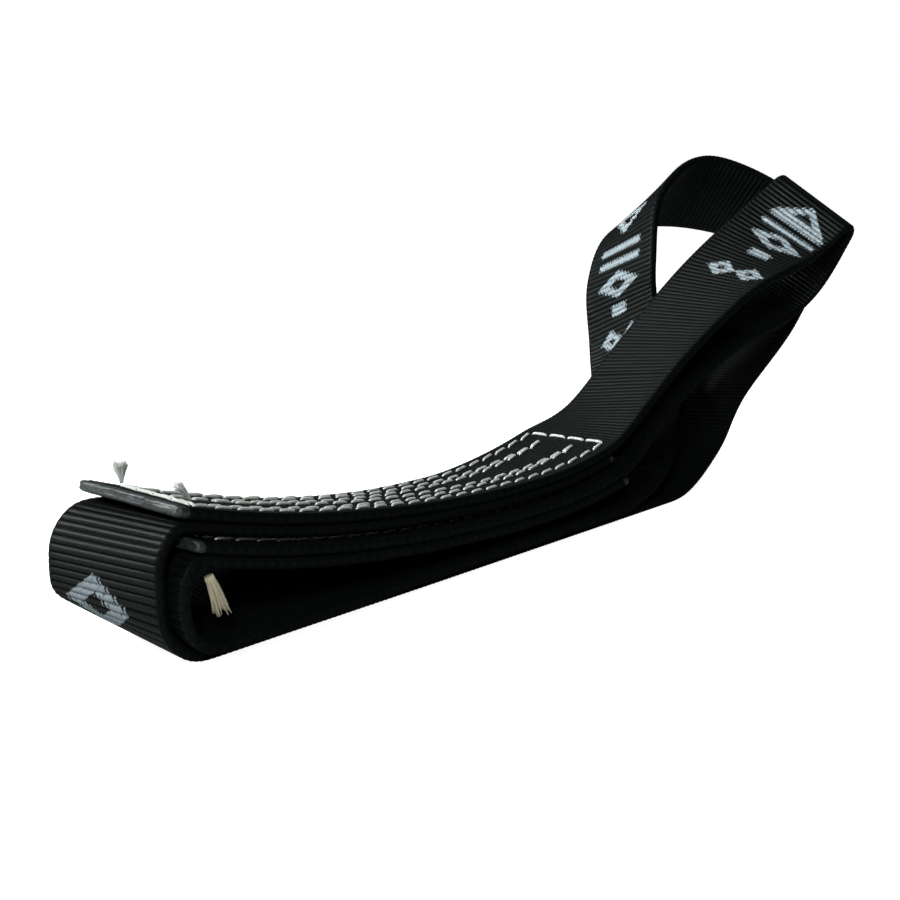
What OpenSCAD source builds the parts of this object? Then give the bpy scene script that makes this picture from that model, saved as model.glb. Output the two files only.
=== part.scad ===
// Strap of a strap wrench: an endless loop of narrow ribbed webbing, joined by two sewn laps
// and lying folded in half.  x is measured from the near, cut ends towards the far fold,
// y across the webbing and z up from the table.  place() then moves the origin to the table
// under the middle of the laps, halfway across the webbing.

/* [Webbing] */
// Width of the webbing
web_w = 25.4; // [20:0.2:32]
// Thickness of the webbing
web_t = 2.1; // [1.8:0.1:2.1]
// Clearance between two layers that lie on each other
layer_gap = 0.1; // [0.05:0.05:0.15]

/* [Sewn laps] */
// Length of a sewn lap
lap_l = 124; // [110:1:124]
// Height of the upper lap's top face at its lowest place
lap_top_z = 13.6; // [13.6:0.1:15]
// Radius of the sag of the stacked laps, on the side of the cut ends
near_sag_r = 310; // [300:5:340]
// Radius of the sag on the side of the far fold
far_sag_r = 150; // [140:5:180]
// Distance from the cut ends to the lowest place of the sag
sag_x = 89; // [86:1:92]
// How far the lower lap and its bend stand out in front of the upper one
lower_shift = 3; // [0:0.5:4]

/* [Stitching] */
// Diameter of the sewing thread
thread_d = 0.8; // [0.6:0.05:0.9]
// Distance from the webbing's edge to the outer row of stitches
stitch_margin = 3; // [2.5:0.25:4]
// Number of zigzag lines inside the box of stitches
zigzag_lines = 4; // [4:2:6]

/* [Near bends] */
// How far the outer bend reaches past the cut ends
outer_reach = 6.3; // [6:0.1:6.6]
// Outer radius at the top of the outer bend
outer_top_r = 7.5; // [7:0.1:8]
// Outer radius at the foot of the outer bend
outer_foot_r = 11; // [10.5:0.1:11.5]
// Outer radius at the top of the inner bend
inner_top_r = 5; // [4.8:0.1:5.2]
// Outer radius at the foot of the inner bend
inner_foot_r = 8; // [7.5:0.1:8.5]

/* [Hidden] */

web_colour = [0.06, 0.07, 0.07];
thread_colour = [0.88, 0.87, 0.82];
seal_colour = [0.26, 0.27, 0.28];
cream_colour = [0.86, 0.80, 0.66];

origin_x = 60;          // the origin's distance from the cut ends
floor_l = 153;          // how far the lowest run lies flat on the table
hinge_gap = 1.2;        // clearance where webbing is parted at a flex line
facets = 360;           // segments of the round side profiles
seal_l = 1.6;           // length of the melted, hardened bead on a cut end
lower_cut_x = 1.2;      // where the lower lap's outer layer starts
seam_gap = 0.35;        // room for the stitches that are pulled flat between the two laps
seam_rise = 0.15;       // how far a stitch between the laps stands out of the webbing
bobbin_rise = 0.1;      // how far a stitch on the underside of a lap stands out
needle_sink = 0.3;      // how far a stitch lies pressed into the webbing

pitch_z = web_t + layer_gap;

// Depth of each layer's top face below the upper lap's top face
depth_1 = 0;
depth_2 = pitch_z;
depth_3 = 2 * pitch_z + seam_gap;
depth_4 = depth_3 + pitch_z;

// Height of the middle of a lap layer at x, on the side of the far fold
function layer_mid(x, depth) =
    let (r = far_sag_r + depth + web_t / 2)
    lap_top_z + far_sag_r - sqrt(r * r - (x - sag_x) * (x - sag_x));

// Each run of free webbing passes through a few stations [x, y, z, yaw, pitch].  Yaw and
// pitch, in degrees, turn the webbing's width away from the y axis.
top_run = [
    [lap_l - 14, 0, layer_mid(lap_l - 14, depth_1), 0, 0],
    [lap_l + 1, 0, layer_mid(lap_l + 1, depth_1), 0, 0],
    [139.5, -0.5, 22.5, 9, -8],
    [156.5, -2, 34, 11, -5],
    [180, -5.5, 49, 10, 6],
    [200, -11.5, 60, 8, 26],
    [209.5, -16.5, 68, 11, 30]
];
return_run = [
    [lap_l - 14, -lower_shift, layer_mid(lap_l - 14, depth_3), 0, 0],
    [lap_l + 1, -lower_shift, layer_mid(lap_l + 1, depth_3), 0, 0],
    [141, -3, 15.4, 7, -22],
    [159.5, -2, 24.5, 7, -17],
    [181, -2, 35.5, 2, 2],
    [201, -4, 44.5, -5, 27],
    [211, -7.5, 52, -7, 31],
    [212.6, -15.7, 65.2, 11, 30]
];
side_run = [
    [floor_l - 23, 0, web_t / 2, 0, 0],
    [floor_l + 1, 0, web_t / 2 + 0.2, 0, 0],
    [173.5, 1, 9, 2, -1],
    [188, 0.8, 19.7, 12, -6],
    [215, -2, 34.6, 28, -12],
    [230.6, -2.7, 48.2, 38, -20],
    [234.4, 4.6, 61.1, 31, -30],
    [218, 22, 70, 27, -48],
    [198, 28, 65, 22, -29],
    [190, 28, 49.8, 12, -20],
    [189.5, 26.2, 33, 8, -24],
    [173.6, 12, 15.8, -8, -14],
    [147, 1, 6, -6, -6],
    [lap_l + 2, -lower_shift, pitch_z + web_t / 2, 0, 0]
];

// Smooth curve through four neighbouring stations, t from 0 to 1 between the middle two
function between(a, b, c, d, t) =
    0.5 * (2 * b + (c - a) * t + (2 * a - 5 * b + 4 * c - d) * t * t
        + (3 * b - a - 3 * c + d) * t * t * t);
function station(run, u) =
    let (
        last = len(run) - 1,
        i = min(floor(u), last - 1),
        before = i == 0 ? 2 * run[0] - run[1] : run[i - 1],
        after = i + 2 > last ? 2 * run[last] - run[last - 1] : run[i + 2]
    )
    between(before, run[i], run[i + 1], after, u - i);
function middle(s) = [s[0], s[1], s[2]];
function across(s) = [sin(s[3]) * cos(s[4]), cos(s[3]) * cos(s[4]), sin(s[4])];
function unit(v) = v / norm(v);

// The four corners of the webbing's section at u
function corners(run, u) =
    let (
        s = station(run, u),
        c = middle(s),
        w = across(s) * web_w / 2,
        ahead = middle(station(run, min(u + 0.02, len(run) - 1))),
        behind = middle(station(run, max(u - 0.02, 0))),
        n = unit(cross(unit(ahead - behind), w)) * web_t / 2
    )
    [c - w - n, c + w - n, c + w + n, c - w + n];

// A closed solid skinned over a row of four-cornered sections
module skin(sections) {
    n = len(sections);
    sides = [
        for (k = [0 : n - 2], j = [0 : 3])
        let (a = 4 * k + j, b = 4 * k + (j + 1) % 4)
        each [[a, b, b + 4], [a, b + 4, a + 4]]
    ];
    last = 4 * (n - 1);
    ends = [[2, 1, 0], [3, 2, 0], [last, last + 1, last + 2], [last, last + 2, last + 3]];
    polyhedron(points = [for (s = sections) each s], faces = concat(sides, ends), convexity = 6);
}

// Webbing that follows a run from u0 to u1
module webbing(run, u0, u1) {
    steps = ceil((u1 - u0) * 6);
    skin([for (k = [0 : steps]) corners(run, u0 + (u1 - u0) * k / steps)]);
}

module place() {
    translate([-origin_x, 0, 0]) children();
}

// A side profile drawn in x and z, as wide as the webbing
module side_profile(shift = 0, width = web_w) {
    translate([0, -shift, 0]) rotate([90, 0, 0]) linear_extrude(width, center = true) children();
}

// Part of a ring whose lowest place is at sag_x, cut off at x0 and x1
module ring_part(r, depth, thickness, x0, x1) {
    intersection() {
        translate([sag_x, lap_top_z + r]) difference() {
            circle(r = r + depth + thickness, $fn = 4 * facets);
            circle(r = r + depth, $fn = 4 * facets);
        }
        translate([x0, 0]) square([x1 - x0, 3 * lap_top_z]);
    }
}

// The sag's two arcs, one on each side of its lowest place, between x0 and x1
module sag_ring(depth, thickness, x0, x1) {
    if (x0 < sag_x) ring_part(near_sag_r, depth, thickness, x0, min(x1, sag_x));
    if (x1 > sag_x) ring_part(far_sag_r, depth, thickness, max(x0, sag_x), x1);
}

module lap_layer(depth, x0, x1, shift) {
    side_profile(shift) sag_ring(depth, web_t, x0, x1);
}

// Outline of a near bend: its foot stands at foot_z and its top meets a lap layer's top face.
// The top circle touches the layer's face, so its centre follows from the two radii.
function top_centre(reach, r, depth) =
    let (x = r - reach, far = near_sag_r + depth + r)
    [x, lap_top_z + near_sag_r - sqrt(far * far - (x - sag_x) * (x - sag_x))];

module bend_outline(reach, top_r, foot_r, depth, foot_z, inset) {
    top = top_centre(reach, top_r, depth);
    foot = [foot_r - reach, foot_z + foot_r];
    end_x = max(top[0], foot[0]) + 1;
    translate(top) circle(r = top_r - inset, $fn = facets);
    translate(foot) circle(r = foot_r - inset, $fn = facets);
    translate([inset - reach, foot[1]]) square([end_x + reach - inset, top[1] - foot[1]]);
    translate([top[0], foot[1]]) square([end_x - top[0], top[1] + top_r - inset - foot[1]]);
    translate([foot[0], foot_z + inset]) square([end_x - foot[0], foot_r]);
}

// Half of a near bend: the upper half ends at the lap, the lower half at the floor run
module near_bend(reach, top_r, foot_r, depth, foot_z, shift, upper) {
    top = top_centre(reach, top_r, depth);
    split_z = (top[1] + foot_z + foot_r) / 2;
    cut_z = split_z + (upper ? hinge_gap / 2 : -hinge_gap / 2);
    side_profile(shift) intersection() {
        difference() {
            bend_outline(reach, top_r, foot_r, depth, foot_z, 0);
            bend_outline(reach, top_r, foot_r, depth, foot_z, web_t);
        }
        translate([-reach - 1, upper ? cut_z : foot_z])
            square([(upper ? top[0] : foot_r - reach) + reach + 1,
                    upper ? 2 * top_r : cut_z - foot_z]);
    }
}

// A rod of thread from a to b, with the given end radii
module thread(a, b, r1, r2) {
    along = b - a;
    translate(a)
        rotate([0, acos(along[2] / norm(along)), atan2(along[1], along[0])])
            cylinder(r1 = r1, r2 = r2, h = norm(along), $fn = 16);
}

// Thread lines pressed into a lap's face; a rise above 0 is on the top face, below 0 underneath
stitch_x0 = 5;
stitch_x1 = lap_l - 1;
stitch_y = web_w / 2 - stitch_margin;
module stitch_line(depth, y, x0, x1, shift, rise) {
    face = rise > 0 ? depth - rise : depth + web_t - needle_sink;
    side_profile(shift - y, thread_d) sag_ring(face, needle_sink + abs(rise), x0, x1);
}
module stitch_across(depth, x, shift, rise) {
    side_profile(shift, 2 * stitch_y - thread_d)
        sag_ring(depth - rise, needle_sink + rise, x - thread_d / 2, x + thread_d / 2);
}

// The sewn box: two long rows and a row across each end
module box_stitch(depth, shift, rise) {
    color(thread_colour) place() {
        for (y = [-stitch_y, stitch_y]) stitch_line(depth, y, stitch_x0, stitch_x1, shift, rise);
        for (x = [stitch_x0, stitch_x1]) stitch_across(depth, x, shift, rise);
    }
}

// The long inner rows between the box's two sides
module zigzag_stitch(depth, shift, rise) {
    step = 2 * stitch_y / (zigzag_lines + 1);
    color(thread_colour) place()
        for (k = [1 : zigzag_lines])
            stitch_line(depth, k * step - stitch_y, stitch_x0 + 2, stitch_x1 - 2, shift, rise);
}

// The bobbin thread's two long rows on the underside of a lap
module bobbin_stitch(depth, shift) {
    color(thread_colour) place()
        for (y = [-stitch_y, stitch_y])
            stitch_line(depth, y, stitch_x0, lap_l - seal_l - 1, shift, -bobbin_rise);
}

// The rows of webbing, from the table up
module floor_run_outer() {
    color(web_colour) place()
        translate([outer_foot_r - outer_reach, -web_w / 2, 0])
            cube([floor_l - outer_foot_r + outer_reach, web_w, web_t]);
}
module floor_run_inner() {
    color(web_colour) place()
        translate([inner_x, -web_w / 2 - lower_shift, pitch_z])
            cube([lap_l + 1 - inner_x, web_w, web_t]);
}
module floor_run_lead() {
    color(web_colour) place() webbing(side_run, 11.62, 13);
}

// The inner bend nests inside the outer one
inner_reach = outer_reach - web_t - 0.5;
inner_x = inner_foot_r - inner_reach;
module outer_bend_lower() {
    color(web_colour) place()
        near_bend(outer_reach, outer_top_r, outer_foot_r, depth_2, 0, 0, false);
}
module outer_bend_upper() {
    color(web_colour) place()
        near_bend(outer_reach, outer_top_r, outer_foot_r, depth_2, 0, 0, true);
}
module inner_bend_lower() {
    color(web_colour) place()
        near_bend(inner_reach, inner_top_r, inner_foot_r, depth_4, pitch_z, lower_shift, false);
}
module inner_bend_upper() {
    color(web_colour) place()
        near_bend(inner_reach, inner_top_r, inner_foot_r, depth_4, pitch_z, lower_shift, true);
}

// The four layers of the two laps, from the top down, with their sealed cut ends
module upper_lap_outer() {
    color(web_colour) place() lap_layer(depth_1, 0, lap_l + 0.4, 0);
}
module upper_lap_inner() {
    color(web_colour) place() lap_layer(depth_2, outer_top_r - outer_reach, lap_l - seal_l, 0);
}
module lower_lap_outer() {
    color(web_colour) place() lap_layer(depth_3, lower_cut_x + seal_l, lap_l + 0.4, lower_shift);
}
module lower_lap_inner() {
    color(web_colour) place()
        lap_layer(depth_4, inner_top_r - inner_reach, lap_l - seal_l, lower_shift);
}
module sealed_end(depth, x0, shift) {
    color(seal_colour) place() lap_layer(depth, x0, x0 + seal_l, shift);
}
module upper_sealed_end() { sealed_end(depth_1, -seal_l, 0); }
module upper_hidden_end() { sealed_end(depth_2, lap_l - seal_l, 0); }
module lower_sealed_end() { sealed_end(depth_3, lower_cut_x, lower_shift); }
module lower_hidden_end() { sealed_end(depth_4, lap_l - seal_l, lower_shift); }

module upper_box_stitch() { box_stitch(depth_1, 0, thread_d / 2); }
module upper_zigzag_stitch() { zigzag_stitch(depth_1, 0, thread_d / 2); }
module upper_bobbin_stitch() { bobbin_stitch(depth_2, 0); }
module lower_box_stitch() { box_stitch(depth_3, lower_shift, seam_rise); }
module lower_zigzag_stitch() { zigzag_stitch(depth_3, lower_shift, seam_rise); }
module lower_bobbin_stitch() { bobbin_stitch(depth_4, lower_shift); }

// The eye: the top run climbs to the far fold and the return run comes back under it
module top_run_near() { color(web_colour) place() webbing(top_run, 1.06, 3.5); }
module top_run_far() { color(web_colour) place() webbing(top_run, 3.6, 6); }
module return_run_near() { color(web_colour) place() webbing(return_run, 1.06, 3.4); }
module return_run_far() { color(web_colour) place() webbing(return_run, 3.5, 6.9); }

// The far fold rolls from just past the top run's end round to the return run's end
fold_from = 10;
fold_to = 150;
module far_fold() {
    top_end = middle(station(top_run, 6));
    low_end = middle(station(return_run, 7));
    w = across(station(top_run, 6));
    up = unit(top_end - low_end - ((top_end - low_end) * w) * w);
    out = unit(cross(w, up));
    c = (top_end + low_end) / 2;
    r = norm(top_end - low_end) / 2;
    steps = 12;
    color(web_colour) place() skin([
        for (k = [0 : steps])
        let (a = fold_from + (fold_to - fold_from) * k / steps, ray = up * cos(a) + out * sin(a))
        [c - w * web_w / 2 + ray * (r - web_t / 2), c + w * web_w / 2 + ray * (r - web_t / 2),
         c + w * web_w / 2 + ray * (r + web_t / 2), c - w * web_w / 2 + ray * (r + web_t / 2)]
    ]);
}

// The side loop: up behind the eye, back over the top and down under the top run
module rising_run() { color(web_colour) place() webbing(side_run, 1.12, 4); }
module back_turn() { color(web_colour) place() webbing(side_run, 4, 7); }
module loop_arch() { color(web_colour) place() webbing(side_run, 7, 9); }
module loop_descent() { color(web_colour) place() webbing(side_run, 9, 11.5); }

// Loose ends of thread
module corner_tail() {
    color(thread_colour) place() thread([6.5, 10.2, 25.4], [6.1, 11, 29.6], 0.35, 1.1);
}
module edge_tail() {
    color(thread_colour) place() thread([4.2, -9, 26.1], [1, -9.8, 28.2], 0.3, 0.8);
}
module frayed_tail() {
    color(cream_colour) place() thread([3.4, -14, 13.4], [5.4, -14.4, 8.4], 0.5, 1.6);
}

floor_run_outer();
floor_run_inner();
floor_run_lead();
outer_bend_lower();
inner_bend_lower();
outer_bend_upper();
inner_bend_upper();
upper_lap_outer();
upper_lap_inner();
lower_lap_outer();
lower_lap_inner();
upper_box_stitch();
upper_zigzag_stitch();
upper_bobbin_stitch();
lower_box_stitch();
lower_zigzag_stitch();
lower_bobbin_stitch();
upper_sealed_end();
upper_hidden_end();
lower_sealed_end();
lower_hidden_end();
top_run_near();
return_run_near();
top_run_far();
far_fold();
return_run_far();
rising_run();
back_turn();
loop_arch();
loop_descent();
corner_tail();
edge_tail();
frayed_tail();
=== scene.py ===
import math
import random

import bpy
import numpy as np
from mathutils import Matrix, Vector


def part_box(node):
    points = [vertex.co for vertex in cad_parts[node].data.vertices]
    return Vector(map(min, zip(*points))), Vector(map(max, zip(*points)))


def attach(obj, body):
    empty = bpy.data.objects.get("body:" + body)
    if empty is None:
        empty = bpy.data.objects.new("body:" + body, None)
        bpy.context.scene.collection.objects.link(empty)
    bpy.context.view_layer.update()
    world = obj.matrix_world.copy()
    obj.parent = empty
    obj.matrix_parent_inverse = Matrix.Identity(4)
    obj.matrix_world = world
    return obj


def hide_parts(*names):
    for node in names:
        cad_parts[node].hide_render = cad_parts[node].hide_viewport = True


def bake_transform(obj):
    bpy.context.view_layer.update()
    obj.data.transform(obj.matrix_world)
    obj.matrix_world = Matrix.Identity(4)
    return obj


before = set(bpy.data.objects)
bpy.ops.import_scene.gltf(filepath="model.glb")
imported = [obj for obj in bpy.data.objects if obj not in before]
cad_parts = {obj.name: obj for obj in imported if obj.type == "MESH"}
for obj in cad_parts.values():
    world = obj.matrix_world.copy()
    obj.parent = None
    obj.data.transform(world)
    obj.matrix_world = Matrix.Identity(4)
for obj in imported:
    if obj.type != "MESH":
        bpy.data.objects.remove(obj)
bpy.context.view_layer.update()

random.seed(7)
noise_source = np.random.default_rng(11)

# Lengths are in millimetres and x counts from the near, cut ends, until to_frame() turns a
# point into the frame's metres.  The webbing's width, the laps' length and the length of the
# run on the table come from the CAD.
MM = 0.001
run_low, run_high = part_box("floor_run_outer")
WEB_W = (run_high.y - run_low.y) / MM
SEAL_L = 1.6            # length of the melted bead on a cut end
ORIGIN_X = -SEAL_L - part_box("upper_sealed_end")[0].x / MM
LAP_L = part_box("lower_hidden_end")[1].x / MM + ORIGIN_X
FLOOR_L = run_high.x / MM + ORIGIN_X

WEB_T = 2.05            # thickness of the woven webbing
RIB = 1.24              # distance between the ribs
RIB_STEPS = 6           # samples along one rib
RIB_DEPTH = 0.34        # how deep the grooves between ribs are
STEP = RIB / RIB_STEPS
SOFTEN = 1.3            # length over which a path is smoothed where two runs meet

# The stacked laps sag in two arcs that meet at their lowest place
NEAR_SAG_R = 310
FAR_SAG_R = 150
SAG_X = 89
LAP_TOP_Z = 13.6        # height of the upper lap's top face at that place
LOWER_SHIFT = 3         # how far the lower lap stands out in front
LAYER_DEPTHS = (0, 2.15, 4.7, 6.85)      # top faces of the four layers below the lap's top
SQUEEZE_X = (40, 68, 108, 124)           # the stack is pressed a little thinner where it sags
SQUEEZE = (1, 0.955, 0.955, 1)
STACK_MIDDLE = 4.2      # depth of the line that the stack rolls about
ROLL_X = (0, 22, 45, 68, 92, 108, 124)   # the roll at these places, in degrees
ROLL_DEG = (2.6, 0, -3.2, -4.4, -4.0, -1.4, 0)

# The near bends: how far they reach past the cut ends, and their radii above and below
OUTER_REACH = 6.6
OUTER_TOP_R = 7.5
OUTER_FOOT_R = 11
INNER_REACH = 3.7
INNER_TOP_R = 5
INNER_FOOT_R = 8
FLOOR_PITCH = 2.15      # from one layer on the table to the next

# The bends and the runs on the table stand on their front edge and lift at the back, by
# degrees that are given at places along them
BEND_ANGLE = (180, 205, 225, 270)        # places round the foot of a bend, in degrees
OUTER_BEND_TILT = (1, 6, 9.5, 9)
INNER_BEND_TILT = (1, 4, 8, 12)
OUTER_TILT_X = (5, 25, 48, 62)
OUTER_TILT = (9, 7, 2, 0)
INNER_TILT_X = (4, 12, 32, 46, 60, 72)
INNER_TILT = (12, 14, 13, 7.5, 2.2, 0)
INNER_DROP_X = (-4, 12, 34, 64)          # where the inner run's front edge hangs lower, and by
INNER_DROP = (0.2, 0.8, 0.8, 0)          # how much
BEND_TURN = (100, 180, 270)              # a bend starts under its lap, stands upright, ends flat
BEND_YAW = 3.4          # turn of the outer bend away from square, in degrees

# Stitching
THREAD_R = 0.3
STITCH_PITCH = 4.85
STITCH_L = 4.35
STITCH_SLANT = 0.32     # how far each end of a stitch lies off its row
BOX_NEAR = 4.6          # the box outline's two ends, and its rows' distance from the middle
BOX_FAR = LAP_L + 0.5
BOX_Y = WEB_W / 2 - 3


def unit(v):
    """A vector's direction, one long."""
    return v / np.linalg.norm(v)


def to_frame(points):
    """Design millimetres to the frame's metres."""
    return (np.asarray(points, float) - (ORIGIN_X, 0, 0)) * MM


# ---------------------------------------------------------------- the webbing's two paths

def lap_frame(x):
    """Point in the middle of the stack at x, with its along, width and up directions."""
    r = NEAR_SAG_R if x < SAG_X else FAR_SAG_R
    angle = math.asin((x - SAG_X) / (r + STACK_MIDDLE))
    level = LAP_TOP_Z + r - (r + STACK_MIDDLE) * math.cos(angle)
    along = np.array([math.cos(angle), 0, math.sin(angle)])
    up = np.array([-math.sin(angle), 0, math.cos(angle)])
    roll = math.radians(np.interp(x, ROLL_X, ROLL_DEG))
    width = np.array([0, math.cos(roll), 0]) + up * math.sin(roll)
    return np.array([x, 0, level]), along, width, np.cross(along, width)


def on_lap(x, y, depth):
    """Point of the stack at x and y, at a depth below the upper lap's top face."""
    point, _, width, up = lap_frame(x)
    return point + width * y + up * (STACK_MIDDLE - depth * np.interp(x, SQUEEZE_X, SQUEEZE))


def lap_run(layer, x0, x1):
    """Centres and width directions of a lap's layer from x0 to x1."""
    depth = LAYER_DEPTHS[layer] + WEB_T / 2
    y = 0 if layer < 2 else -LOWER_SHIFT
    xs = np.linspace(x0, x1, int(abs(x1 - x0)) + 2)
    return [on_lap(x, y, depth) for x in xs], [lap_frame(x)[2] for x in xs]


def lap_station(layer, x):
    """A station of a free run that lies in a lap's layer."""
    centre = lap_run(layer, x, x)[0][0]
    return [*centre, 0, 0]


# Stations [x, y, z, yaw, pitch] of the free runs.  Yaw and pitch, in degrees, turn the
# webbing's width away from the y axis.
TOP_RUN = [
    lap_station(0, LAP_L - 14),
    lap_station(0, LAP_L + 1),
    [139.5, -0.5, 22.5, 9, -8],
    [156.5, -2, 34, 11, -5],
    [180, -5.5, 49, 10, 6],
    [200, -11.5, 60, 8, 26],
    [209.5, -16.5, 68, 11, 30],
]
RETURN_RUN = [
    lap_station(2, LAP_L - 14),
    lap_station(2, LAP_L + 1),
    [141, -3, 15.4, 7, -22],
    [159.5, -2, 24.5, 7, -17],
    [181, -2, 35.5, 2, 2],
    [201, -4, 44.5, -5, 27],
    [211, -7.5, 52, -7, 31],
    [212.6, -15.7, 65.2, 11, 30],
]
SIDE_RUN = [
    [FLOOR_L - 23, 0, WEB_T / 2, 0, 0],
    [FLOOR_L + 1, 0, WEB_T / 2 + 0.2, 0, 0],
    [173.5, 1, 9, 2, -1],
    [188, 0.8, 19.7, 12, -6],
    [215, -2, 34.6, 28, -12],
    [230.6, -2.7, 48.2, 38, -20],
    [234.4, 4.6, 61.1, 31, -30],
    [218, 22, 70, 27, -48],
    [198, 28, 65, 22, -29],
    [190, 28, 49.8, 12, -20],
    [189.5, 26.2, 33, 8, -24],
    [173.6, 12, 15.8, -8, -14],
    [147, 1, 6, -6, -6],
    [LAP_L + 2, -LOWER_SHIFT, FLOOR_PITCH + WEB_T / 2, 0, 0],
]


def station(run, u):
    """Catmull-Rom curve through a run's stations."""
    last = len(run) - 1
    i = min(int(u), last - 1)
    a, b, c, d = (
        np.array(run[k], float) if 0 <= k <= last else None for k in range(i - 1, i + 3)
    )
    a = 2 * b - c if a is None else a
    d = 2 * c - b if d is None else d
    t = u - i
    return 0.5 * (
        2 * b + (c - a) * t + (2 * a - 5 * b + 4 * c - d) * t**2
        + (3 * b - a - 3 * c + d) * t**3
    )


def across(place):
    """The width direction at a station."""
    yaw, pitch = math.radians(place[3]), math.radians(place[4])
    level = math.cos(pitch)
    return np.array([math.sin(yaw) * level, math.cos(yaw) * level, math.sin(pitch)])


PER_STATION = 24        # points between one station and the next


def free_run(run, u0, u1):
    """Centres and width directions of a free run from u0 to u1."""
    stations = [station(run, u) for u in np.linspace(u0, u1, int(abs(u1 - u0) * PER_STATION) + 2)]
    return [s[:3] for s in stations], [across(s) for s in stations]


FOLD_OUT = 0.65         # how far the far fold bulges, as a share of a round fold


def fold_run():
    """Half roll from the top run's end to the return run's end."""
    top_end, low_end = station(TOP_RUN, len(TOP_RUN) - 1), station(RETURN_RUN, len(RETURN_RUN) - 1)
    w = across(top_end)
    apart = top_end[:3] - low_end[:3]
    up = unit(apart - (apart @ w) * w)
    out = unit(np.cross(w, up))
    middle = (top_end[:3] + low_end[:3]) / 2
    r = np.linalg.norm(apart) / 2
    angles = np.radians(np.linspace(15, 165, 16))
    points = [middle + r * (up * math.cos(a) + FOLD_OUT * out * math.sin(a)) for a in angles]
    return points, [w] * len(angles)


def tilted(point, tilt, drop):
    """A centre and width direction with the back edge lifted, turned about the front edge."""
    tilt = math.radians(tilt)
    width = np.array([0, math.cos(tilt), math.sin(tilt)])
    front = point - np.array([0, WEB_W / 2, drop])
    return front + width * WEB_W / 2, width


def bend_run(reach, top_r, foot_r, layer, foot_z, y, tilts, yaw):
    """A near bend's middle line and widths, from its lap down to the run on the table."""
    depth = LAYER_DEPTHS[layer]
    far = NEAR_SAG_R + depth + top_r
    top_x, foot_x = top_r - reach, foot_r - reach
    top_z = LAP_TOP_Z + NEAR_SAG_R - math.sqrt(far**2 - (top_x - SAG_X) ** 2)
    foot = np.array([foot_x, y, foot_z + foot_r])
    points, widths = [], []
    turned = np.array([-math.tan(math.radians(yaw)), 0, 0])
    start, side, end = BEND_TURN
    for angle in np.linspace(start, side, 18):
        r, a = top_r - WEB_T / 2, math.radians(angle)
        points.append(np.array([top_x + r * math.cos(a), y, top_z + r * math.sin(a)]))
        widths.append(unit(np.array([0, 1, 0]) + turned * (angle - start) / (side - start)))
    for angle in np.linspace(side, end, 22):
        r, a = foot_r - WEB_T / 2, math.radians(angle)
        drop = np.interp(points[-1][0], INNER_DROP_X, INNER_DROP) if layer == 3 else 0
        tilt = np.interp(angle, BEND_ANGLE, tilts)
        point, width = tilted(foot + r * np.array([math.cos(a), 0, math.sin(a)]), tilt, drop)
        points.append(point)
        widths.append(unit(width + turned * (end - angle) / (end - side)))
    return points, widths


def flat_run(x0, x1, y, level, tilt_x, tilt, drop_x=(0,), drop=(0,)):
    """A run on the table, whose back edge lifts towards the near bend."""
    placed = [
        tilted(np.array([x, y, level]), np.interp(x, tilt_x, tilt), np.interp(x, drop_x, drop))
        for x in np.linspace(x0, x1, int(abs(x1 - x0)) + 2)
    ]
    return [p for p, _ in placed], [w for _, w in placed]


class Path:
    """A length of webbing as samples one rib step apart, smoothed where runs meet."""

    def __init__(self, parts, printed_up):
        """Parts are (centres, width directions); printed_up says which face carries ink."""
        points = np.array([p for part in parts for p in part[0]])
        widths = np.array([w for part in parts for w in part[1]])
        gaps = np.linalg.norm(np.diff(points, axis=0), axis=1)
        keep = np.r_[True, gaps > 0.05]
        points, widths = points[keep], widths[keep]
        s = np.r_[0, np.cumsum(np.linalg.norm(np.diff(points, axis=0), axis=1))]
        at = np.arange(0, s[-1], STEP)
        self.points = self.smooth(np.array([np.interp(at, s, points[:, k]) for k in range(3)]).T)
        widths = self.smooth(np.array([np.interp(at, s, widths[:, k]) for k in range(3)]).T)
        self.widths = widths / np.linalg.norm(widths, axis=1)[:, None]
        ahead = np.gradient(self.points, axis=0)
        self.ups = np.cross(ahead, self.widths) * (1 if printed_up else -1)
        self.ups /= np.linalg.norm(self.ups, axis=1)[:, None]

    @staticmethod
    def smooth(values):
        """Gaussian smoothing along the path, with straight ends."""
        reach = int(4 * SOFTEN / STEP)
        steps = np.arange(-reach, reach + 1) * STEP
        kernel = np.exp(-0.5 * (steps / SOFTEN) ** 2)
        kernel /= kernel.sum()
        head = values[0] - (values[reach:0:-1] - values[0])
        tail = values[-1] + (values[-1] - values[-2:-reach - 2:-1])
        padded = np.vstack([head, values, tail])
        return np.array([np.convolve(padded[:, k], kernel, "valid") for k in range(3)]).T

    def nearest(self, point, low, high):
        """Index of the sample closest to a point, between two shares of the path's length."""
        first, last = int(low * len(self.points)), int(high * len(self.points))
        offsets = self.points[first:last] - np.array(point, float)
        return first + int(np.linalg.norm(offsets, axis=1).argmin())


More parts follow.
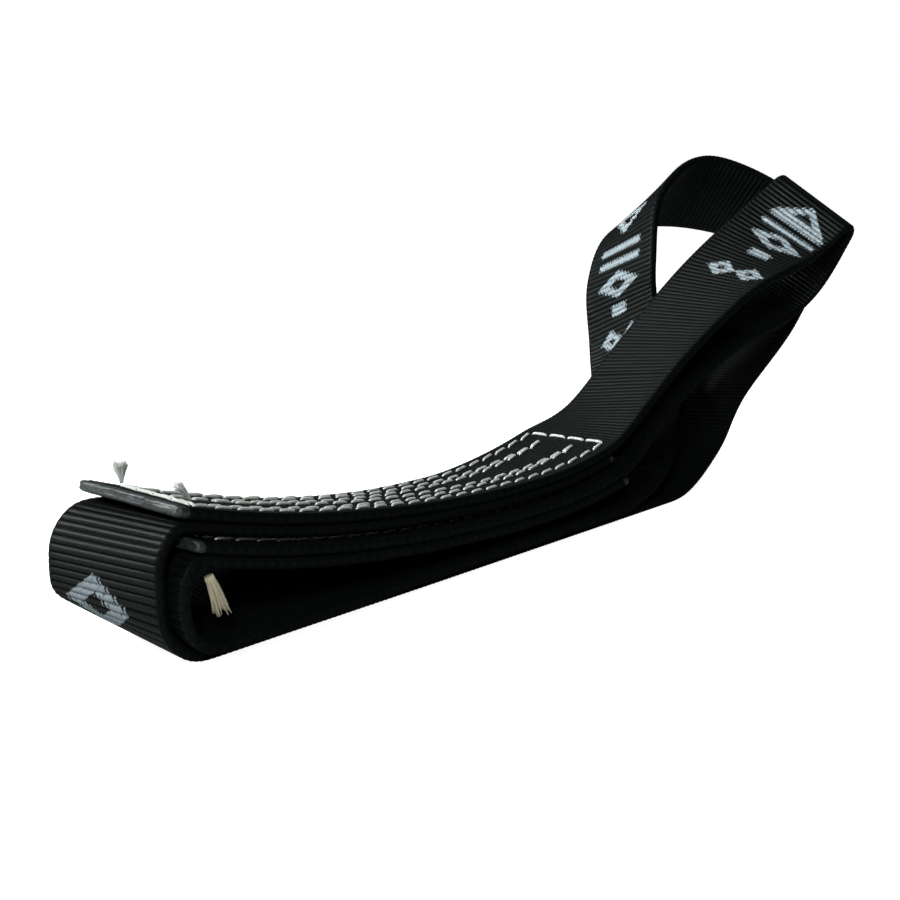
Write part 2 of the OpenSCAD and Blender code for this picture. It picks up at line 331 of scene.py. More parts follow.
first_length = Path(
    [
        lap_run(0, 0, LAP_L - 1),
        free_run(TOP_RUN, 1.06, 6),
        fold_run(),
        free_run(RETURN_RUN, 7, 1.06),
        lap_run(2, LAP_L - 1, 1.6),
    ],
    printed_up=True,
)
inner_bend = bend_run(
    INNER_REACH, INNER_TOP_R, INNER_FOOT_R, 3, FLOOR_PITCH, -LOWER_SHIFT, INNER_BEND_TILT, 0
)
second_length = Path(
    [
        lap_run(1, LAP_L - SEAL_L, 4),
        bend_run(OUTER_REACH, OUTER_TOP_R, OUTER_FOOT_R, 1, 0, 0, OUTER_BEND_TILT, BEND_YAW),
        flat_run(
            OUTER_FOOT_R - OUTER_REACH + 1, FLOOR_L - 2, 0, WEB_T / 2, OUTER_TILT_X, OUTER_TILT
        ),
        free_run(SIDE_RUN, 1.04, 12.9),
        flat_run(
            LAP_L, INNER_FOOT_R - INNER_REACH + 1, -LOWER_SHIFT, FLOOR_PITCH + WEB_T / 2,
            INNER_TILT_X, INNER_TILT, INNER_DROP_X, INNER_DROP
        ),
        (inner_bend[0][::-1], inner_bend[1][::-1]),
        lap_run(3, 5, LAP_L - SEAL_L),
    ],
    printed_up=False,
)


# ---------------------------------------------------------------------------- materials

def new_material(name):
    """A new node material, with its tree and its shader."""
    material = bpy.data.materials.new(name)
    material.use_nodes = True
    tree = material.node_tree
    shader = tree.nodes["Principled BSDF"]
    return material, tree, shader


def node(tree, kind, **inputs):
    """A new node; inputs are set by their socket's name, with _ for a space."""
    made = tree.nodes.new(kind)
    for key, value in inputs.items():
        socket = made.inputs[key.replace("_", " ")]
        if isinstance(value, bpy.types.NodeSocket):
            tree.links.new(value, socket)
        else:
            socket.default_value = value
    return made


def calc(tree, operation, a, b=0.0, c=0.0):
    """The output of a Math node."""
    made = tree.nodes.new("ShaderNodeMath")
    made.operation = operation
    for socket, value in zip(made.inputs, (a, b, c)):
        if isinstance(value, bpy.types.NodeSocket):
            tree.links.new(value, socket)
        else:
            socket.default_value = value
    return made.outputs[0]


def ramp(tree, factor, stops):
    """The colour of a ColorRamp node over (place, grey or colour) stops."""
    made = tree.nodes.new("ShaderNodeValToRGB")
    elements = made.color_ramp.elements
    while len(elements) < len(stops):
        elements.new(0.5)
    for element, (place, colour) in zip(elements, stops):
        element.position = place
        element.color = (*colour, 1) if isinstance(colour, tuple) else (colour, colour, colour, 1)
    tree.links.new(factor, made.inputs["Fac"])
    return made.outputs["Color"]


def bump(tree, shader, height, strength, distance):
    """Let a height bend the shader's normal; distance is in millimetres."""
    made = node(tree, "ShaderNodeBump", Height=height, Strength=strength, Distance=distance * MM)
    tree.links.new(made.outputs["Normal"], shader.inputs["Normal"])


def strap_weave(tree):
    """Heights of the yarns over the ribs: the webbing's UV map counts ribs in u and mm in v."""
    uv = node(tree, "ShaderNodeUVMap")
    split = node(tree, "ShaderNodeSeparateXYZ", Vector=uv.outputs["UV"])
    row = calc(tree, "FLOOR", split.outputs["X"])
    shifted = calc(tree, "MULTIPLY_ADD", row, 0.5, calc(tree, "DIVIDE", split.outputs["Y"], 0.62))
    yarn = calc(tree, "ABSOLUTE", calc(tree, "SINE", calc(tree, "MULTIPLY", shifted, math.pi)))
    fine = node(tree, "ShaderNodeTexNoise", Vector=uv.outputs["UV"], Scale=9.0, Detail=4.0)
    return uv, yarn, fine.outputs["Fac"]


def groove_shade(tree, uv):
    """Painted shade in the grooves: 0 on the crest of a rib and 1 in the groove, then 1 on the
    ribbed face and 0 on a selvedge.
    """
    split = node(tree, "ShaderNodeSeparateXYZ", Vector=uv.outputs["UV"])
    place = calc(tree, "MULTIPLY_ADD", calc(tree, "FRACT", split.outputs["X"]), 2.0, -1.0)
    groove = calc(tree, "POWER", calc(tree, "ABSOLUTE", place), 2.5)
    face_half = WEB_W / 2 - 0.6
    inside = calc(tree, "LESS_THAN", calc(tree, "ABSOLUTE", split.outputs["Y"]), face_half)
    return calc(tree, "MULTIPLY", groove, inside), inside


def webbing_material():
    """Black nylon: the yarns shine on the crests of the ribs and stay dull in the grooves, which
    painted shade darkens.
    """
    material, tree, shader = new_material("black_webbing")
    uv, yarn, fine = strap_weave(tree)
    groove, inside = groove_shade(tree, uv)
    broad = node(tree, "ShaderNodeTexNoise", Vector=uv.outputs["UV"], Scale=0.35, Detail=3.0)
    shade = calc(tree, "MULTIPLY_ADD", yarn, 0.2, calc(tree, "MULTIPLY", fine, 0.45))
    shade = calc(tree, "MULTIPLY_ADD", broad.outputs["Fac"], 0.35, shade)
    # painted shade: the base colour darkens in the grooves between the ribs
    shade = calc(tree, "MULTIPLY_ADD", groove, -0.35, shade)
    colour = ramp(tree, shade, [(0.1, (0.001, 0.0011, 0.001)), (0.75, (0.0038, 0.0052, 0.0048))])
    tree.links.new(colour, shader.inputs["Base Color"])
    shader.inputs["Roughness"].default_value = 0.6
    shader.inputs["Specular IOR Level"].default_value = 0.0
    shine = calc(tree, "MULTIPLY_ADD", groove, -0.27, calc(tree, "MULTIPLY_ADD", yarn, 0.1, 0.2))
    shine = calc(tree, "MULTIPLY", shine, calc(tree, "MULTIPLY_ADD", inside, 0.75, 0.25))
    tree.links.new(shine, shader.inputs["Coat Weight"])
    tree.links.new(calc(tree, "MULTIPLY_ADD", fine, 0.2, 0.3), shader.inputs["Coat Roughness"])
    height = calc(tree, "MULTIPLY_ADD", yarn, 0.35, calc(tree, "MULTIPLY", fine, 0.6))
    bump(tree, shader, height, 0.55, 0.12)
    tree.links.new(shader.inputs["Normal"].links[0].from_socket, shader.inputs["Coat Normal"])
    return material


def ink_material(name, share):
    """Blue-grey ink worn off in patches, and darkened in the grooves by painted shade; share scales
    its brightness.
    """
    material, tree, shader = new_material(name)
    uv, yarn, fine = strap_weave(tree)
    patch = node(tree, "ShaderNodeTexNoise", Vector=uv.outputs["UV"], Scale=1.3, Detail=5.0)
    wear_and_shade = calc(tree, "MULTIPLY_ADD", yarn, 0.2, patch.outputs["Fac"])
    # painted shade: the ink darkens in the grooves between the ribs
    wear_and_shade = calc(tree, "MULTIPLY_ADD", groove_shade(tree, uv)[0], -0.25, wear_and_shade)
    stops = [(0.3, (0.05, 0.058, 0.066)), (0.45, (0.26, 0.30, 0.34)), (0.85, (0.42, 0.47, 0.51))]
    colour = ramp(tree, wear_and_shade, [(at, tuple(share * c for c in tone)) for at, tone in stops])
    tree.links.new(colour, shader.inputs["Base Color"])
    shader.inputs["Roughness"].default_value = 0.62
    shader.inputs["Specular IOR Level"].default_value = 0.3
    bump(tree, shader, calc(tree, "MULTIPLY_ADD", yarn, 0.7, fine), 0.7, 0.12)
    return material


def thread_material(name, dark, light):
    """Twisted thread: its UV map runs round and along each stitch, in turns and millimetres."""
    material, tree, shader = new_material(name)
    uv = node(tree, "ShaderNodeUVMap")
    split = node(tree, "ShaderNodeSeparateXYZ", Vector=uv.outputs["UV"])
    twist = calc(tree, "MULTIPLY_ADD", split.outputs["Y"], 1.1, split.outputs["X"])
    # painted shade: the ply pattern darkens the thread's colour between the plies of the twist
    ply = calc(tree, "ABSOLUTE", calc(tree, "SINE", calc(tree, "MULTIPLY", twist, 2 * math.pi)))
    hairs = node(tree, "ShaderNodeTexNoise", Vector=uv.outputs["UV"], Scale=7.0, Detail=4.0)
    shade = calc(tree, "MULTIPLY_ADD", ply, 0.6, calc(tree, "MULTIPLY", hairs.outputs["Fac"], 0.5))
    colour = ramp(tree, shade, [(0.1, dark), (0.75, light)])
    tree.links.new(colour, shader.inputs["Base Color"])
    shader.inputs["Roughness"].default_value = 0.55
    shader.inputs["Sheen Weight"].default_value = 0.2
    bump(tree, shader, shade, 0.6, 0.15)
    return material


def melted_material(name, light):
    """Nylon melted to a lumpy, streaked crust; light is its brightest colour."""
    material, tree, shader = new_material(name)
    place = node(tree, "ShaderNodeTexCoord").outputs["Object"]
    lumps = node(tree, "ShaderNodeTexNoise", Vector=place, Scale=900.0, Detail=5.0)
    smear = node(tree, "ShaderNodeMapping", Vector=place, Scale=(1500.0, 260.0, 1500.0))
    streaks = node(tree, "ShaderNodeTexNoise", Vector=smear.outputs["Vector"], Scale=1.0, Detail=4.0)
    half_streak = calc(tree, "MULTIPLY", streaks.outputs["Fac"], 0.5)
    mixed = calc(tree, "MULTIPLY_ADD", lumps.outputs["Fac"], 0.5, half_streak)
    colour = ramp(tree, mixed, [(0.32, (0.004, 0.0045, 0.005)), (0.7, light)])
    tree.links.new(colour, shader.inputs["Base Color"])
    roughness = calc(tree, "MULTIPLY_ADD", lumps.outputs["Fac"], 0.3, 0.25)
    tree.links.new(roughness, shader.inputs["Roughness"])
    shader.inputs["Specular IOR Level"].default_value = 0.3
    bump(tree, shader, mixed, 0.8, 0.5)
    return material


WEBBING = webbing_material()
INK = ink_material("worn_blue_grey_ink", 0.7)
# painted shade: a darker copy of the same ink for the near bend's mark, which the lamps light
# strongly
SHADED_INK = ink_material("shaded_blue_grey_ink", 0.5)
THREAD = thread_material("white_thread", (0.28, 0.28, 0.26), (0.64, 0.64, 0.61))
CREAM = thread_material("cream_thread", (0.26, 0.2, 0.12), (0.58, 0.5, 0.35))
MELTED = melted_material("melted_nylon", (0.034, 0.038, 0.04))
# painted shade: a darker copy of the melted nylon for the hidden ends inside the stack
SHADED_MELTED = melted_material("shaded_melted_nylon", (0.006, 0.0065, 0.007))


# ------------------------------------------------------------------------------- meshes

def add_mesh(name, points, faces, uvs, material):
    """A smooth mesh of design points, with one UV pair for each point."""
    mesh = bpy.data.meshes.new(name)
    mesh.from_pydata(to_frame(points).tolist(), [], faces)
    layer = mesh.uv_layers.new(name="UVMap")
    corner = np.zeros(len(mesh.loops), np.int32)
    mesh.loops.foreach_get("vertex_index", corner)
    layer.data.foreach_set("uv", np.asarray(uvs, np.float32)[corner].ravel())
    mesh.polygons.foreach_set("use_smooth", [True] * len(mesh.polygons))
    mesh.materials.append(material)
    mesh.update()
    made = bpy.data.objects.new(name, mesh)
    bpy.context.scene.collection.objects.link(made)
    return made


def tube_faces(rings, sides, first=0):
    """Faces of closed rings joined in a row, with a cap at each end."""
    faces = [
        (first + r * sides + k, first + r * sides + (k + 1) % sides,
         first + (r + 1) * sides + (k + 1) % sides, first + (r + 1) * sides + k)
        for r in range(rings - 1)
        for k in range(sides)
    ]
    faces.append(tuple(first + k for k in range(sides))[::-1])
    faces.append(tuple(first + (rings - 1) * sides + k for k in range(sides)))
    return faces


def rib_height(k):
    """Relief of a rounded rib at sample k, from 0 in the groove to 1 on the crest."""
    place = 2 * (k % RIB_STEPS) / RIB_STEPS - 1
    return (1 - place * place) ** 0.75


FACE_POINTS = 9
HALF_W = WEB_W / 2
FACE_EDGE = HALF_W - 0.5
face_y = np.r_[-FACE_EDGE, np.linspace(0.7 - FACE_EDGE, FACE_EDGE - 0.7, FACE_POINTS - 2), FACE_EDGE]
edge_y = np.array([HALF_W - 0.14, HALF_W, HALF_W - 0.14])
section_y = np.r_[face_y, edge_y, face_y[::-1], -edge_y]
section_h = np.r_[np.ones(FACE_POINTS), 0.72, 0, -0.72, -np.ones(FACE_POINTS), -0.72, 0, 0.72]
rib_share = np.ones(FACE_POINTS)
rib_share[[0, -1]] = 0.25
section_rib = np.r_[rib_share, 0.08, 0, 0.08, rib_share, 0.08, 0, 0.08]  # ribs fade at the edges


def face_lift(k, side, share=1.0):
    """Height of the rib relief at sample k, on the printed face (1) or the other one (-1)."""
    shift = 0 if side > 0 else RIB_STEPS // 2
    return WEB_T / 2 - RIB_DEPTH * share * (1 - rib_height(k + shift))


EDGE_TUCK = 0.004       # how far the selvedge draws in between ribs, as a share of the half width


def strap(name, path, start, end):
    """A piece of ribbed webbing along a path, from sample start to sample end."""
    points, uvs = [], []
    for k in range(start, end + 1):
        lift = np.where(
            section_h >= 0, face_lift(k, 1, section_rib), face_lift(k, -1, section_rib)
        )
        tuck = np.where(np.abs(section_y) > FACE_EDGE, 1 - EDGE_TUCK * (1 - rib_height(k)), 1)
        ring = (
            path.points[k]
            + np.outer(section_y * tuck, path.widths[k])
            + np.outer(section_h * lift, path.ups[k])
        )
        points.append(ring)
        uvs.append(np.column_stack([np.full(len(section_y), k / RIB_STEPS), section_y]))
    sides = len(section_y)
    faces = tube_faces(end - start + 1, sides)
    return add_mesh(name, np.vstack(points), faces, np.vstack(uvs), WEBBING)


# ------------------------------------------------------------------- the strap's pieces


def build_first_length():
    """Upper lap, top run, far fold, return run and lower lap."""
    path = first_length
    last = len(path.points) - 1
    top_cut = path.nearest(station(TOP_RUN, 2.6)[:3], 0, 0.5)
    low_cut = path.nearest(station(RETURN_RUN, 2.6)[:3], 0.5, 1)
    upper = strap("upper_lap_and_top_run", path, 0, top_cut)
    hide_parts("upper_lap_outer", "top_run_near")
    eye = strap("eye_and_far_fold", path, top_cut, low_cut)
    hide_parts("top_run_far", "far_fold", "return_run_far")
    lower = strap("return_run_and_lower_lap", path, low_cut, last)
    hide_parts("return_run_near", "lower_lap_outer")
    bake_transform(upper)
    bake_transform(lower)
    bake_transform(eye)


def build_second_length():
    """Inner lap layers, near bends, floor runs and side loop."""
    path = second_length
    last = len(path.points) - 1
    top_end = path.nearest(on_lap(6, 0, LAYER_DEPTHS[1] + WEB_T / 2), 0, 0.3)
    foot_end = path.nearest((14, 0, WEB_T / 2), 0.05, 0.4)
    rise_end = path.nearest(station(SIDE_RUN, 2.7)[:3], 0.2, 0.6)
    arch_cut = path.nearest(station(SIDE_RUN, 7)[:3], 0.3, 0.8)
    descent_end = path.nearest(station(SIDE_RUN, 10.9)[:3], 0.4, 0.9)
    inner_foot = path.nearest((12, -LOWER_SHIFT, FLOOR_PITCH + WEB_T / 2), 0.6, 1)
    inner_top = path.nearest(on_lap(6, -LOWER_SHIFT, LAYER_DEPTHS[3] + WEB_T / 2), 0.75, 1)
    piece = strap("upper_lap_inner_layer", path, 0, top_end)
    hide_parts("upper_lap_inner")
    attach(piece, "laps")
    piece = strap("outer_near_bend", path, top_end, foot_end)
    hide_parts("outer_bend_upper", "outer_bend_lower")
    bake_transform(piece)
    piece = strap("floor_and_rising_run", path, foot_end, rise_end)
    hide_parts("floor_run_outer", "rising_run")
    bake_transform(piece)
    piece = strap("side_loop_back", path, rise_end, arch_cut)
    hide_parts("back_turn")
    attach(piece, "side_loop")
    piece = strap("side_loop_front", path, arch_cut, descent_end)
    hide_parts("loop_arch", "loop_descent")
    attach(piece, "side_loop")
    piece = strap("lead_and_inner_floor_run", path, descent_end, inner_foot)
    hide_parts("floor_run_lead", "floor_run_inner")
    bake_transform(piece)
    piece = strap("inner_near_bend", path, inner_foot, inner_top)
    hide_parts("inner_bend_lower", "inner_bend_upper")
    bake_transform(piece)
    piece = strap("lower_lap_inner_layer", path, inner_top, last)
    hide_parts("lower_lap_inner")
    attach(piece, "laps")


build_first_length()
build_second_length()


# ----------------------------------------------------------------------------- ink marks

# Each shape says whether a place is inked: a runs across and b along the webbing, both from
# -1 to 1 over the shape's box.

def diamond(a, b):
    """The outline of a diamond."""
    return 0.42 < abs(a) + abs(b) < 1


def two_bars(a, b):
    """Two bars that lie across the webbing."""
    return abs(a) < 1 and 0.28 < abs(b) < 0.82


def triangle(a, b):
    """The outline of a triangle."""
    inside = abs(a) < (1 - b) / 2 and abs(b) < 1
    hollow = abs(a) < (0.3 - b) / 2 and b > -0.55
    return inside and not hollow


def dash(a, b):
    """A short dash in the middle."""
    return abs(a) < 0.34 and abs(b) < 0.42


def two_diamonds(a, b):
    """The outlines of two diamonds, side by side."""
    return 0.33 < abs(abs(a) - 0.5) / 0.5 + abs(b) < 1


INK_Y_STEP = 0.25
INK_LIFT = 0.035        # how far the ink lies above the yarns


def ink(name, path, marks, material):
    """Marks as (shape, sample, y, half length, half width), on the printed face."""
    cells = {}
    for shape, centre, y0, half_l, half_w in marks:
        shift = round(y0 / INK_Y_STEP)
        reach = int(half_w / INK_Y_STEP) + 1
        for k in range(centre - int(half_l / STEP) - 1, centre + int(half_l / STEP) + 2):
            for j in range(shift - reach, shift + reach + 1):
                ragged = 0.06 * math.sin(1.7 * j + 0.9 * k)
                a = (j + 0.5 - shift) * INK_Y_STEP / half_w + ragged
                b = (k + 0.5 - centre) * STEP / half_l + ragged
                if shape(a, b):
                    cells[k, j] = True
    corners, points, uvs, faces = {}, [], [], []
    for k, j in cells:
        face = []
        for kk, jj in ((k, j), (k, j + 1), (k + 1, j + 1), (k + 1, j)):
            if (kk, jj) not in corners:
                corners[kk, jj] = len(points)
                y = jj * INK_Y_STEP
                lift = face_lift(kk, 1) + INK_LIFT
                points.append(path.points[kk] + path.widths[kk] * y + path.ups[kk] * lift)
                uvs.append((kk / RIB_STEPS, y))
            face.append(corners[kk, jj])
        faces.append(face)
    return add_mesh(name, points, faces, uvs, material)


def build_ink():
    """The printed code's place on each run, filled with plain shapes."""
    shapes = (triangle, two_bars, diamond, dash, two_diamonds)
    path = first_length
    marks = [
        (shape, path.nearest(station(TOP_RUN, u)[:3], 0, 0.5), -2.6, 3.0, 8.6)
        for shape, u in zip(shapes, (5.6, 5.18, 4.84, 4.55, 4.18))
    ]
    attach(ink("top_run_marks", path, marks, INK), "eye_tip")
    path = second_length
    marks = [
        (shape, path.nearest(station(SIDE_RUN, u)[:3], 0.3, 0.9), 0, 3.4, 7.6)
        for shape, u in zip(shapes, (8.25, 8.75, 9.2, 9.6, 10.05))
    ]
    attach(ink("side_loop_marks", path, marks, INK), "side_loop")
    marks = [(diamond, path.nearest((-6, 0, 9), 0.05, 0.4), 2.0, 5.2, 7.4)]
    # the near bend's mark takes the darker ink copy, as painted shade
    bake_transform(ink("near_bend_mark", path, marks, SHADED_INK))


build_ink()


# ------------------------------------------------------------------------------ stitches

STITCH_SIDES = 8
STITCH_RINGS = 9
STITCH_SINK = 0.5       # how deep a stitch's two ends dive into the webbing


def tube(points, radii, sides):
    """Rings round a line of points, and their UV pairs (turns, millimetres)."""
    points = np.array(points)
    ahead = np.gradient(points, axis=0)
    rings, uvs = [], []
    length = 0.0
    for k, (p, t, r) in enumerate(zip(points, ahead, radii)):
        t = unit(t)
        side = unit(np.cross(t, (0.3, 0.2, 1) if abs(t[2]) < 0.9 else (1, 0, 0)))
        up = np.cross(side, t)
        length += np.linalg.norm(points[k] - points[k - 1]) if k else 0
        for j in range(sides):
            a = 2 * math.pi * j / sides
            ply = 1 + 0.1 * math.cos(2 * (a + 3.4 * length))
            rings.append(p + r * ply * (side * math.cos(a) + up * math.sin(a)))
            uvs.append((j / sides, length))
    return rings, uvs


def stitch_rows(name, rows, depth, shift, side, node_name, pull=0.0):
    """Rows of stitches on a lap's layer, from (x, y) to (x, y); side is 1 on top, -1 below."""
    points, uvs, faces = [], [], []
    for start, end in rows:
        start, end = np.array(start, float), np.array(end, float)
        length = np.linalg.norm(end - start)
        count = max(1, round(length / STITCH_PITCH))
        pitch = length / count
        half = STITCH_L / STITCH_PITCH * pitch / 2
        for k in range(count):
            skew = STITCH_SLANT * np.sign(end[0] - start[0]) + random.uniform(-0.12, 0.12)
            height = random.uniform(0.1, 0.22) - pull
            line, radii = [], []
            for t in np.linspace(-1, 1, STITCH_RINGS):
                along = (k + 0.5) * pitch + t * half
                x, y = start + (end - start) * along / length
                arch = height - STITCH_SINK * t**6
                line.append(on_lap(x, y + skew * t - shift, depth - side * arch))
                radii.append(THREAD_R * (1 - 0.35 * t**8))
            ring, uv = tube(line, radii, STITCH_SIDES)
            faces += tube_faces(STITCH_RINGS, STITCH_SIDES, len(points))
            points += ring
            uvs += uv
    made = add_mesh(name, points, faces, uvs, THREAD)
    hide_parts(node_name)
    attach(made, "laps")


def box_rows(front_y, front_x=BOX_NEAR):
    """The box outline's back, far, front and near rows, as (start, end)."""
    corners = [(BOX_NEAR, BOX_Y), (BOX_FAR, BOX_Y), (BOX_FAR, front_y), (front_x, front_y)]
    return list(zip(corners, corners[1:] + corners[:1]))


def zigzag_rows():
    """The zigzag inside the box, as (start, end)."""
    near, far = BOX_NEAR + 2, BOX_FAR - 3.3
    turns = [(near, BOX_Y - 1.2), (far, 4.6), (near, 0.4), (far, -4.2), (near, -BOX_Y + 1.2)]
    return list(zip(turns, turns[1:]))


FRONT_CORNER_X = 2.4    # the upper box's near row runs askew, and is sewn twice
FRONT_ROW_GAP = 1       # distance between the two near rows of the upper box
LOWER_FRONT_Y = 2.0 - BOX_Y              # the lower box's front row, set back from the edge
BOBBIN_FRONT_Y = 1.2 - BOX_Y
BOBBIN_PULL = 0.25      # how much deeper the bobbin thread is pulled into the webbing


def build_stitches():
    """The stitches on each lap's top face, and the bobbin's rows under it."""
    back_row, _, front_row, _ = box_rows(BOBBIN_FRONT_Y)
    for lap, top, bottom, shift, front_y in (
        ("upper", 0, 1, 0, -BOX_Y),
        ("lower", 2, 3, LOWER_SHIFT, LOWER_FRONT_Y),
    ):
        face = LAYER_DEPTHS[top]
        back = LAYER_DEPTHS[bottom] + WEB_T
        rows = box_rows(front_y)
        if lap == "upper":
            rows = box_rows(front_y, FRONT_CORNER_X)
            (x0, y0), (x1, y1) = rows[-1]
            rows.append(((x0 + FRONT_ROW_GAP, y0), (x1 + FRONT_ROW_GAP, y1)))
        stitch_rows(f"{lap}_box_stitches", rows, face, shift, 1, f"{lap}_box_stitch")
        stitch_rows(f"{lap}_zigzag_stitches", zigzag_rows(), face, shift, 1, f"{lap}_zigzag_stitch")
        rows = [back_row, front_row]
        stitch_rows(
            f"{lap}_bobbin_stitches", rows, back, shift, -1, f"{lap}_bobbin_stitch", BOBBIN_PULL
        )


build_stitches()


# -------------------------------------------------------------------------- melted ends

END_SIDES = 26
END_ROWS = 70
END_WOBBLE = 0.32       # how far the crust's lumps stand out
CLEFT_DEPTH = 0.32      # of the groove where the two faces melted together
PLATE_RAISE = 0.3       # how far the front third of the upper end stands out


def melted_end(name, layer, x0, ahead, node_name, material, plate=False):
    """A melted bead on a cut end, from x0 on, with a cleft along its face."""
    shift = 0 if layer < 2 else LOWER_SHIFT
    depth = LAYER_DEPTHS[layer] + WEB_T / 2
    middle = x0 + ahead * SEAL_L / 2
    wobble = noise_source.uniform(-1, 1, (END_ROWS, END_SIDES))
    for _ in range(3):
        wobble = (wobble + np.roll(wobble, 1, 1) + np.roll(wobble, -1, 1)) / 3
        wobble[1:-1] = (wobble[1:-1] + wobble[2:] + wobble[:-2]) / 3
    points, uvs = [], []
    for r in range(END_ROWS):
        y = (2 * r / (END_ROWS - 1) - 1) * (HALF_W + 0.05)
        raised = PLATE_RAISE if plate and y < -HALF_W / 3 else 0.0
        round_off = 1 - 0.35 * (abs(y) / HALF_W) ** 24
        for k in range(END_SIDES):
            a = 2 * math.pi * k / END_SIDES
            cx, cz = math.cos(a), math.sin(a)
            cx = math.copysign(abs(cx) ** 0.5, cx)
            cz = math.copysign(abs(cz) ** 0.6, cz)
            cleft = math.exp(-((cz + 0.15) / 0.16) ** 2) if cx > 0 and not raised else 0
            reach = (SEAL_L * 0.62 + raised) * cx * round_off - CLEFT_DEPTH * cleft
            reach += END_WOBBLE * wobble[r, k]
            rise = (WEB_T / 2 - 0.05) * cz * round_off + END_WOBBLE / 2 * wobble[r, k]
            points.append(on_lap(middle + ahead * reach, y - shift, depth - rise))
            uvs.append((k / END_SIDES, y))
    faces = tube_faces(END_ROWS, END_SIDES)
    made = add_mesh(name, points, faces, uvs, material)
    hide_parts(node_name)
    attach(made, "laps")


melted_end("upper_melted_end", 0, 0.1, -1, "upper_sealed_end", MELTED, plate=True)
# the hidden ends, inside the stack, take the darker copy of the melted nylon as painted shade
melted_end("upper_hidden_melted_end", 1, LAP_L - SEAL_L, 1, "upper_hidden_end", SHADED_MELTED)
melted_end("lower_melted_end", 2, 2.1, -1, "lower_sealed_end", MELTED)
melted_end("lower_hidden_melted_end", 3, LAP_L - SEAL_L, 1, "lower_hidden_end", SHADED_MELTED)


# --------------------------------------------------------------------------- loose ends

FIBRE_RINGS = 8
FIBRE_SIDES = 6
FIBRE_TURN = 2.4        # from one fibre to the next round the tuft, in radians


def tuft(name, root, tip, spread, gather, fibres, radius, material, node_name, body):
    """A frayed thread end whose fibres fan out; gather is the root's width over the tip's."""
    root, tip = np.array(root, float), np.array(tip, float)
    along = unit(tip - root)
    side = unit(np.cross(along, (0.2, 1, 0.1)))
    other = np.cross(along, side)
    points, uvs, faces = [], [], []
    for k in range(fibres):
        turn = k * FIBRE_TURN
        out = spread * math.sqrt((k + 0.5) / fibres)
        lean = side * math.cos(turn) * out + other * math.sin(turn) * out
        reach = random.uniform(0.82, 1.05)
        curl = random.uniform(-0.25, 0.25)
        line = []
        for t in np.linspace(0, 1, FIBRE_RINGS):
            fan = t ** 1.6
            line.append(
                root + (tip - root) * t * reach + lean * (gather + (1 - gather) * fan)
                + side * curl * math.sin(math.pi * t)
            )
        radii = [radius * (1.3 - 0.7 * t) for t in np.linspace(0, 1, FIBRE_RINGS)]
        ring, uv = tube(line, radii, FIBRE_SIDES)
        faces += tube_faces(FIBRE_RINGS, FIBRE_SIDES, len(points))
        points += ring
        uvs += uv
    made = add_mesh(name, points, faces, uvs, material)
    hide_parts(node_name)
    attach(made, body)


tuft("corner_tuft", (6.6, 10.2, 25.55), (6.7, 10.6, 29.2), 1.5, 0.1, 52, 0.14, THREAD,
     "corner_tail", "corner_thread")
tuft("edge_tuft", (4.4, -9, 25.9), (0.9, -9.9, 28.9), 1.0, 0.1, 24, 0.13, THREAD,
     "edge_tail", "edge_thread")
tuft("cream_tuft", (3.2, -14, 14.6), (5.4, -14.5, 8.2), 1.5, 0.45, 40, 0.14, CREAM,
     "frayed_tail", "frayed_thread")


# --------------------------------------------------------------------------- the studio

FLOOR_HALF = 3.0        # half the floor's side, in metres
FLOOR_GLOW = 0.96       # what a camera ray gets from the floor besides its lit colour
LAMP_COLOUR = (0.93, 1, 0.985)
ROOM_LIGHT = 0.06       # even light of the room, for every ray but the camera's


def build_floor():
    """A pale floor that a camera ray sees lit evenly, with a faint shadow."""
    mesh = bpy.data.meshes.new("floor")
    corners = [(x * FLOOR_HALF, y * FLOOR_HALF, 0) for x, y in ((-1, -1), (1, -1), (1, 1), (-1, 1))]
    mesh.from_pydata(corners, [], [(0, 1, 2, 3)])
    material, tree, shader = new_material("pale_floor")
    grain = node(tree, "ShaderNodeTexNoise", Scale=40.0, Detail=3.0)
    colour = ramp(tree, grain.outputs["Fac"], [(0, 0.58), (1, 0.62)])
    tree.links.new(colour, shader.inputs["Base Color"])
    shader.inputs["Roughness"].default_value = 0.9
    shader.inputs["Specular IOR Level"].default_value = 0.1
    shader.inputs["Emission Color"].default_value = (1, 1, 1, 1)
    seen = node(tree, "ShaderNodeLightPath").outputs["Is Camera Ray"]
    tree.links.new(calc(tree, "MULTIPLY", seen, FLOOR_GLOW), shader.inputs["Emission Strength"])
    mesh.materials.append(material)
    floor = bpy.data.objects.new("floor", mesh)
    bpy.context.scene.collection.objects.link(floor)


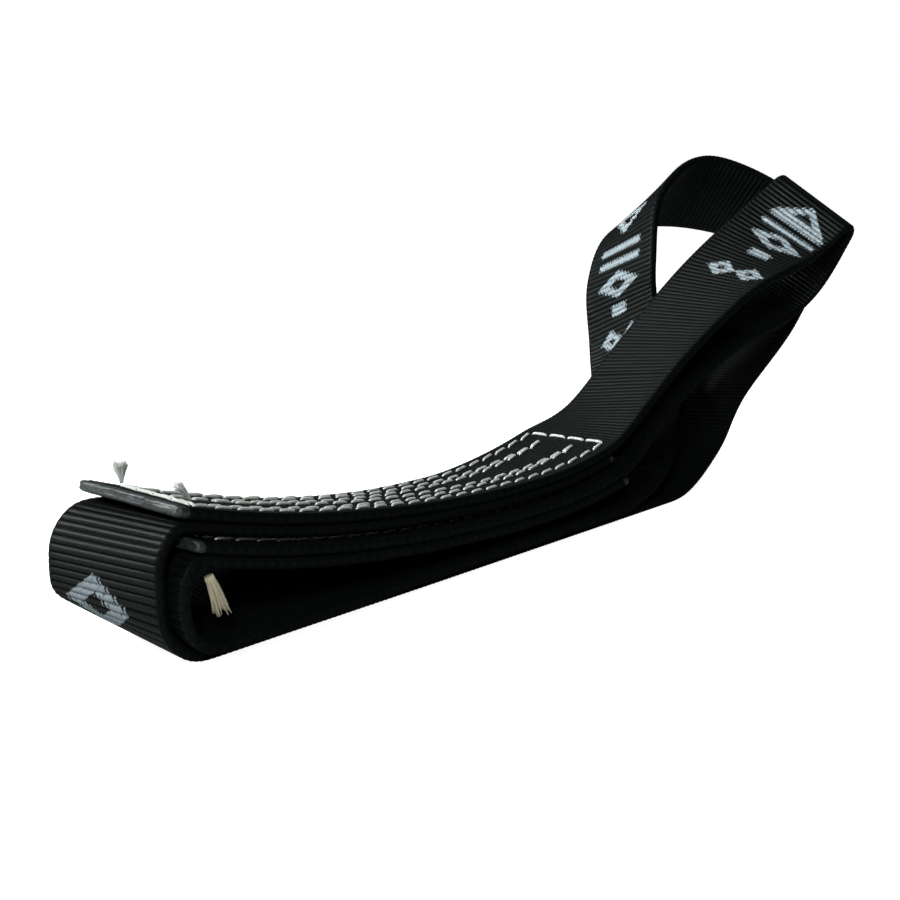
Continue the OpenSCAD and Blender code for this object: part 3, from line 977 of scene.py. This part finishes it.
def area_light(name, place, target, size, power, spread=180):
    """A square lamp aimed at a target; places and sizes are in metres, the spread in degrees."""
    light = bpy.data.lights.new(name, "AREA")
    light.size = size
    light.energy = power
    light.color = LAMP_COLOUR
    light.spread = math.radians(spread)
    lamp = bpy.data.objects.new(name, light)
    lamp.location = place
    lamp.rotation_euler = (Vector(target) - Vector(place)).to_track_quat("-Z", "Y").to_euler()
    bpy.context.scene.collection.objects.link(lamp)


def build_studio():
    """The floor, the even light of the room and four soft lamps."""
    build_floor()
    world = bpy.data.worlds.new("studio")
    world.use_nodes = True
    tree = world.node_tree
    seen = node(tree, "ShaderNodeLightPath").outputs["Is Camera Ray"]
    bright = calc(tree, "MULTIPLY_ADD", seen, 1 - ROOM_LIGHT, ROOM_LIGHT)
    tree.nodes["Background"].inputs["Color"].default_value = (1, 1, 1, 1)
    tree.links.new(bright, tree.nodes["Background"].inputs["Strength"])
    bpy.context.scene.world = world
    near_bend = (-0.066, 0, 0.015)
    side_loop = (0.13, 0.027, 0.055)
    area_light("key", (-0.50, 0.58, 0.56), near_bend, 0.2, 10.5)
    area_light("front", (-0.55, -0.36, 0.50), near_bend, 0.25, 4.5)
    area_light("side_key", (-0.28, 0.34, 0.10), side_loop, 0.12, 0.12, 35)
    area_light("back", (0.42, 0.48, 0.66), (0.05, 0, 0.03), 0.4, 0.8)
    bpy.context.scene.view_settings.view_transform = "Standard"


def build_camera():
    """60 mm lens, about 240 mm from the near corner, a little above the strap."""
    camera = bpy.data.cameras.new("camera")
    camera.lens = 60
    camera.sensor_width = 36
    camera.clip_start = 0.01
    eye = bpy.data.objects.new("camera", camera)
    bpy.context.scene.collection.objects.link(eye)
    turn, down = math.radians(51.71), math.radians(10.80)
    level = math.cos(down)
    look = Vector((math.sin(turn) * level, math.cos(turn) * level, -math.sin(down)))
    eye.location = (-0.2107, -0.1834, 0.0776)
    eye.rotation_euler = look.to_track_quat("-Z", "Y").to_euler()
    bpy.context.scene.camera = eye


build_studio()
build_camera()
